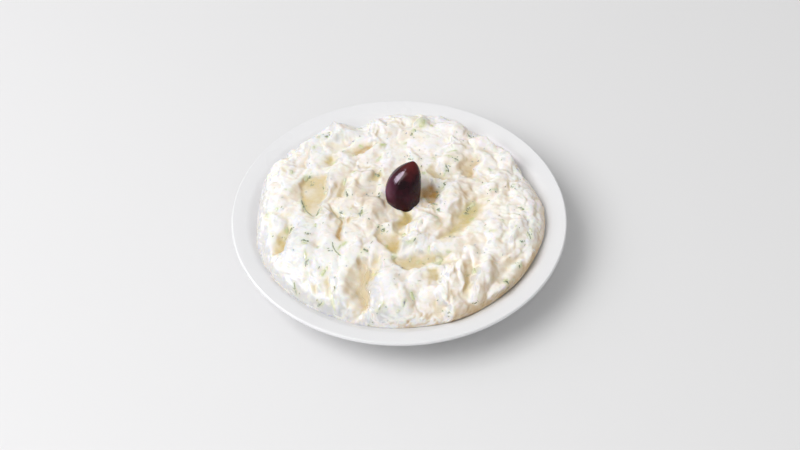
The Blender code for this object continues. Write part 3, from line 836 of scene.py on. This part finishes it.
# in mm and degrees: across, away, turn, length, width
PEEL = (
    (-45, -1.5, -66, 12, 1.2),
    (-38.5, -5.5, 68, 5.0, 1.0),
    (-42, 13.5, 20, 2.2, 1.2),
    (-43, 18.5, 60, 1.9, 1.4),
    (-36, 46, 30, 2.1, 1.6),
    (-34.8, 49, 70, 1.6, 1.0),
    (-25, 4, -80, 5.0, 1.2),
    (-27, -8, -60, 4.6, 1.5),
    (-18, -8, 80, 5.0, 1.4),
    (-51, -17, 75, 3.8, 1.0),
    (-42.5, -21, 40, 1.5, 1.3),
    (-43.5, -25.2, -10, 3.4, 1.5),
    (-42.5, -38.3, 70, 4.5, 1.2),
    (-29.5, -30, -64, 10, 0.9),
    (-15.5, -31, -20, 2.7, 1.7),
    (-7.5, -17.5, 40, 2.4, 1.6),
    (-9.8, -16.5, 70, 1.6, 1.1),
    (-10, 2, 50, 2.4, 1.6),
    (-9.6, 4.6, 80, 1.6, 1.2),
    (18.5, -6, 30, 2.5, 1.8),
    (17, -2, -30, 2.3, 1.1),
    (18.5, 5, -20, 1.9, 1.3),
    (31.5, -5, 10, 2.4, 1.8),
    (33, -2, 50, 4.2, 1.4),
    (9.3, 22, -50, 2.0, 1.1),
    (5, 28, -50, 2.4, 1.0),
    (23, 22.5, -70, 5.0, 1.5),
    (27.5, 28.5, -20, 2.8, 1.4),
    (21.5, 10.5, -60, 2.4, 1.2),
    (54.5, 11, -40, 2.5, 0.9),
    (58, -3, -25, 3.4, 1.5),
    (57.8, -24, 20, 1.7, 1.6),
    (61.8, -19.5, -65, 5.0, 1.2),
    (57.4, -38, -50, 3.0, 1.3),
    (52, -48, -40, 3.6, 1.8),
    (54.5, -50.5, 20, 2.0, 1.2),
    (45.5, 44, -75, 3.6, 1.4),
    (35, 48.5, -50, 4.0, 1.2),
    (6, 46.5, 70, 2.2, 1.2),
    (7.3, -26, 60, 3.6, 1.0),
    (-50.6, -52, 76, 8.0, 1.2),
    (-38.7, -61.5, 32, 5.4, 1.3),
    (-9, -64.5, 66, 7.0, 1.3),
    (-29.3, -54, -74, 5.0, 0.9),
    (23.5, -67, 30, 1.5, 1.3),
    (-15, -75.5, 10, 1.7, 1.4),
    (36.8, -61, 50, 1.5, 0.9),
    (-10.5, 17.5, -20, 2.6, 1.6),
)
FLESH = (
    (-63, -7, 80, 3.6, 2.8),
    (-45, 17.5, 60, 3.2, 2.2),
    (-43.5, -27, -20, 3.2, 1.4),
    (-43, -34, 92, 6.0, 1.4),
    (-35, -43.5, 65, 4.6, 2.2),
    (-53, -17, 80, 4.0, 1.5),
    (11.5, 54, 72, 8.0, 3.2),
    (7, 49, 60, 4.0, 2.2),
    (6, -58, -72, 5.6, 2.3),
    (2.5, -61, 60, 3.2, 2.0),
    (-0.5, -66, 50, 2.6, 1.6),
    (34, -1, 50, 6.5, 2.0),
    (18, -36, 70, 6.0, 4.5),
    (-2.5, -34, 30, 3.2, 1.6),
    (5, -27.5, 20, 6.0, 1.8),
    (51.3, -47, 40, 3.4, 2.2),
    (62.6, -16.5, -60, 3.4, 1.8),
    (-21.5, 19.5, 30, 2.6, 1.6),
    (-8, 39, 30, 4.4, 2.2),
    (24, 30, -10, 4.4, 1.6),
    (12, 19.5, 70, 3.0, 2.6),
    (-31.5, -60, 94, 12, 1.8),
    (58.5, -37, -50, 3.4, 1.6),
    (-37, -61, 32, 4.0, 1.6),
    (-7.6, -62.5, 66, 4.0, 2.0),
)
bed = smooth(form, 0.7 * MM)


def skin_at(x, y, relief):
    """Points of the skin over places measured along it, over the top and down the side."""
    bearing = np.arctan2(y, x)
    out = np.hypot(x, y) * DIP_RADIUS / dip_edge(bearing)
    return dip_skin(np.minimum(np.interp(out, way, shares), 0.999), bearing, relief)[0]


def draped(name, rows, height, sink, bow, rings=11, sides=6):
    """Slips on the skin as one mesh: rings run along each slip between its two poles.

    A row gives the place across and away, the turn, the length and the width. A slip is thick
    in its middle by the height, sunk into the skin, and bent by the bow over its length. The
    attribute "rind" runs from 0 along its one edge to 1 along the other.
    """
    across, away, turn, length, width = (value[:, None] for value in np.asarray(rows, float).T)
    across, away, length, width = across * MM, away * MM, length * MM, width * MM
    c, s = np.cos(np.radians(turn)), np.sin(np.radians(turn))
    lean = np.linspace(0, math.pi, rings + 2)[1:-1]
    around = np.arange(sides) * 2 * math.pi / sides
    along = np.append(np.repeat(-np.cos(lean), sides), (-1, 1))
    girth = np.append(np.repeat(np.sin(lean) ** 0.7, sides), (0, 0))
    turns = np.append(np.tile(around, rings), (0, 0))
    u = along * length / 2
    # the width swells and shrinks along each slip
    ragged = 1 + 0.22 * np.sin(5 * along + 9 * across / MM) + 0.18 * np.sin(11 * along + 7 * away / MM)
    v = girth * ragged * np.cos(turns) * width / 2 + bow[:, None] * length * (along**2 - 0.4)
    base = skin_at(across + u * c - v * s, away + u * s + v * c, bed)
    step = 0.6 * MM
    ahead = skin_at(across + step, away, bed) - skin_at(across - step, away, bed)
    beside = skin_at(across, away + step, bed) - skin_at(across, away - step, bed)
    up = np.cross(ahead, beside)
    up /= np.linalg.norm(up, axis=-1, keepdims=True)
    points = base + up * (girth * np.sin(turns) * height - sink)[..., None]
    each = rings * sides + 2
    wall = ring_faces(rings, sides)
    i = np.arange(sides)
    first = np.stack([np.full(sides, each - 2), np.roll(i, -1), i], -1)
    last = np.stack([np.full(sides, each - 1), i, np.roll(i, -1)], -1)
    last[:, 1:] += (rings - 1) * sides
    shift = each * np.arange(len(points))[:, None, None]
    faces = (wall + shift).reshape(-1, 4).tolist()
    faces += (np.vstack([first, last]) + shift).reshape(-1, 3).tolist()
    made = solid(name, points.reshape(-1, 3), faces)
    paint(made, "rind", np.tile(0.5 + 0.5 * girth * np.cos(turns), len(points)))
    return made


def loose(count, lengths, widths, draw):
    """Random rows like the tables', spread over the top of the heap."""
    spots = seed_spots(count, 5 * MM, draw) / MM
    spots = spots[np.hypot(*spots.T) < 64]
    n = len(spots)
    sizes = draw.normal(65, 45, n), draw.uniform(*lengths, n), draw.uniform(*widths, n)
    return np.column_stack([spots, *sizes])


draw = np.random.default_rng(81)
# crumbs of peel round each sliver
around_peel = np.repeat(np.asarray(PEEL, float), 2, axis=0)
around_peel[:, :2] += draw.normal(0, 1.4, (len(around_peel), 2))
around_peel[:, 2:] = draw.uniform((0, 0.6, 0.35), (180, 1.5, 0.7), (len(around_peel), 3))
peel_rows = np.vstack([PEEL, around_peel, loose(40, (0.8, 2.4), (0.35, 0.6), draw)])
flesh_rows = np.vstack([FLESH, loose(70, (1.6, 4.5), (1.0, 2.0), draw)])
peel = draped("peel_slivers", peel_rows, 0.3 * MM, 0.12 * MM, draw.normal(0, 0.07, len(peel_rows)))
flesh = draped("cucumber_flesh", flesh_rows, 0.4 * MM, 0.25 * MM, draw.normal(0, 0.05, len(flesh_rows)))

# the yogurt round and over the bits is tinted by them
green = np.zeros_like(sheet_x)
for rows, strength, longer, wider in ((peel_rows, 0.45, 1.6, 3.2), (flesh_rows, 0.9, 1.3, 1.6)):
    for across, away, turn, length, width in rows * (MM, MM, 1, longer * MM, wider * MM):
        stamp(green, strength, across, away, length, width, turn)
green = smooth(green, 0.4 * MM)
paint(dip, "green", sheet_at(green, skin_x, skin_y))

peel_skin, tree, shader = new_material("peel", Coat_Weight=0.2, Coat_Roughness=0.15)
colour = mottle(tree, 500, 3, 0.35, 0.65, (0.085, 0.11, 0.055), (0.29, 0.31, 0.24))["Colour"]
colour = blend(tree, remap(tree, painted(tree, "rind"), 0.6, 0.1), colour, (0.42, 0.47, 0.24))
smear = remap(tree, noise(tree, 1100), 0.50, 0.64, 0.0, 0.85)
colour = blend(tree, smear, colour, (0.62, 0.62, 0.54))
feed(tree, shader, Base_Color=colour, Roughness=uneven_gloss(tree, 900, 0.2, 0.5))
peel.data.materials.append(peel_skin)
pale, tree, shader = new_material(
    "flesh", Subsurface_Weight=1.0, Subsurface_Radius=(1.0, 1.0, 0.6), Subsurface_Scale=0.8 * MM
)
colour = mottle(tree, 300, 2, 0.35, 0.65, (0.64, 0.68, 0.38), (0.78, 0.78, 0.60))["Colour"]
feed(tree, shader, Base_Color=colour, Roughness=uneven_gloss(tree, 700, 0.15, 0.35))
flesh.data.materials.append(pale)
for piece in (peel, flesh):
    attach(piece, "root")
    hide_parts("tzatziki")


# Herbs. Chopped dill and mint and a little cracked pepper, stirred in: fine dark flecks that
# show through or break the skin everywhere.
draw = np.random.default_rng(91)
rows = loose(200, (0.5, 1.4), (0.4, 0.7), draw)
herbs = draped("herb_flecks", rows, 0.2 * MM, 0.1 * MM, draw.normal(0, 0.08, len(rows)), rings=3, sides=5)
leaf, tree, shader = new_material("dried_leaf")
colour = mottle(tree, 260, 2, 0.4, 0.6, (0.26, 0.28, 0.25), (0.56, 0.58, 0.53))["Colour"]
feed(tree, shader, Base_Color=colour, Roughness=uneven_gloss(tree, 700, 0.35, 0.7))
herbs.data.materials.append(leaf)
# those under the skin only cloud it
buried = np.vstack([rows * (1, 1, 1, 1.8, 3.0), loose(200, (1.2, 4.0), (0.8, 1.8), draw)])
clouded = np.zeros_like(sheet_x)
for across, away, turn, length, width in buried * (MM, MM, 1, MM, MM):
    stamp(clouded, draw.uniform(0.3, 1.0), across, away, length, width, turn)
paint(dip, "clouded", sheet_at(smooth(clouded, 0.3 * MM), skin_x, skin_y))
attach(herbs, "root")
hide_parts("tzatziki")


# Olive. A large pointed olive in brine, pressed upright into the middle. Its skin is taut and
# glossy, nearly black, with a wine red tip and a plum patch painted high on its left side as a painted
# reflection of the key light.
OLIVE_LENGTH = 29.4 * MM
OLIVE_WIDTH = 17.4 * MM
OLIVE_WIDEST = 0.46
OLIVE_BEND = 13 * MM
OLIVE_BASE = Vector((0.9, -0.3, 20.8)) * MM
OLIVE_LEAN_BACK = 17
OLIVE_LEAN_RIGHT = 4
OLIVE_SEAMS = 8
SEAM_DEPTH = 0.35
TIP_PINCH = 0.36

along = (1 - np.cos(np.linspace(0, math.pi, 121)[1:-1]))[:, None] / 2
around = np.linspace(0, 2 * math.pi, 128, endpoint=False)[None, :]
# the swell is 1 at the widest place and a root of the way to each end, and the tip is pinched in
blunt = 0.5 * (1 - OLIVE_WIDEST) / OLIVE_WIDEST
swell = (along / OLIVE_WIDEST) ** 0.5 * ((1 - along) / (1 - OLIVE_WIDEST)) ** blunt
pointed = 1 - TIP_PINCH * np.exp((along - 1) / 0.08)
# the skin is drawn a little flat between soft seams that wind upwards
off_seam = (around * OLIVE_SEAMS / (2 * math.pi) + 0.3 + 0.35 * np.sin(2.2 * along)) % 1 - 0.5
flat = 1 / np.cos(2 * math.pi / OLIVE_SEAMS * off_seam) - 1 / np.cos(math.pi / OLIVE_SEAMS)
r = OLIVE_WIDTH / 2 * swell * pointed * (1 + SEAM_DEPTH * flat * np.sin(math.pi * along) ** 0.5)
bend = OLIVE_BEND * (along - OLIVE_WIDEST) ** 2
up = OLIVE_LENGTH * along + 0 * around
olive_rings = np.stack([r * np.cos(around) + bend, r * np.sin(around), up], -1)
ends = [
    (OLIVE_BEND * OLIVE_WIDEST**2, 0, 0),
    (OLIVE_BEND * (1 - OLIVE_WIDEST) ** 2, 0, OLIVE_LENGTH),
]
olive = capped("olive_fruit", olive_rings, ends)
lean = Matrix.Rotation(math.radians(-OLIVE_LEAN_BACK), 4, "X")
lean = Matrix.Rotation(math.radians(OLIVE_LEAN_RIGHT), 4, "Y") @ lean
olive.data.transform(Matrix.Translation(OLIVE_BASE) @ lean)

skin, tree, shader = new_material("olive_skin", Specular_IOR_Level=0.2)
across, _, up = position(tree)
mottled = mottle(tree, 160, 3, 0.35, 0.7, (0.007, 0.0005, 0.002), (0.034, 0.002, 0.008))
# the mottling makes the borders of the painted plum reflection and of the tip ragged
tip = maths(tree, "ADD", up, maths(tree, "MULTIPLY", mottled["Share"], 3 * MM))
left = maths(tree, "ADD", across, maths(tree, "MULTIPLY", mottled["Share"], 2 * MM))
# painted reflection: a lighter plum high on the left side, toward the key light
painted_sheen = maths(tree, "MULTIPLY", remap(tree, left, 0, -6 * MM), remap(tree, up, 28 * MM, 36 * MM))
dark = blend(tree, painted_sheen, mottled["Colour"], (0.105, 0.022, 0.052))
colour = blend(tree, remap(tree, tip, 44 * MM, 50 * MM), dark, (0.08, 0.009, 0.009))
feed(tree, shader, Base_Color=colour, Roughness=uneven_gloss(tree, 400, 0.10, 0.24))
bump(tree, shader, noise(tree, 240, 2), 0.35 * MM, 0.6)
olive.data.materials.append(skin)
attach(olive, "root")
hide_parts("olive")


# Studio. A pale paper floor under an even white sky, a soft key box at the left and a little in
# front, a lilac box at the left that only shines in glossy skins, and a camera on a long lens that
# looks down at about 47 degrees.
FLOOR_SIDE = 6.0
half = FLOOR_SIDE / 2
floor_points = [(-half, -half, 0), (half, -half, 0), (half, half, 0), (-half, half, 0)]
floor = bpy.data.objects.new("studio_floor", bpy.data.meshes.new("studio_floor"))
floor.data.from_pydata(floor_points, [], [(0, 1, 2, 3)])
bpy.context.scene.collection.objects.link(floor)
paper, tree, shader = new_material("studio_paper", Roughness=0.9)
colour = mottle(tree, 3, 3, 0.0, 1.0, (0.70, 0.70, 0.70), (0.72, 0.72, 0.72))["Colour"]
feed(tree, shader, Base_Color=colour)
floor.data.materials.append(paper)

world = bpy.data.worlds.new("studio_air")
world.use_nodes = True
world.node_tree.nodes["Background"].inputs[0].default_value = (1.0, 1.0, 1.0, 1)
world.node_tree.nodes["Background"].inputs[1].default_value = 0.575
bpy.context.scene.world = world


def soft_box(name, place, aim, width, depth, watts, colour=(1, 1, 1)):
    """A rectangular area light at a place, turned to face an aim."""
    light = bpy.data.lights.new(name, "AREA")
    light.shape = "RECTANGLE"
    light.size = width
    light.size_y = depth
    light.energy = watts
    light.color = colour
    made = bpy.data.objects.new(name, light)
    made.location = place
    made.rotation_euler = (Vector(place) - Vector(aim)).to_track_quat("Z", "Y").to_euler()
    bpy.context.scene.collection.objects.link(made)
    return made


soft_box("key_box", (-0.98, -0.50, 1.30), (0, 0, 0), 1.1, 1.1, 22.5)
glint = soft_box("glint_box", (-1.10, 0.10, 0.85), (0, 0, 0.03), 0.60, 0.80, 48.0, (0.92, 0.82, 1.0))
glint.visible_diffuse = False

camera_data = bpy.data.cameras.new("studio_camera")
camera_data.lens = 80
camera_data.sensor_width = 36
camera = bpy.data.objects.new("studio_camera", camera_data)
CAMERA_RISE = math.radians(46.752)
CAMERA_AIM = Vector((0.38, -5.88, 20.1)) * MM
CAMERA_DISTANCE = 845.3 * MM
towards_camera = Vector((0, -math.cos(CAMERA_RISE), math.sin(CAMERA_RISE)))
camera.location = CAMERA_AIM + CAMERA_DISTANCE * towards_camera
camera.rotation_euler = (math.pi / 2 - CAMERA_RISE, 0, 0)
bpy.context.scene.collection.objects.link(camera)
bpy.context.scene.camera = camera
bpy.context.scene.view_settings.view_transform = "Standard"
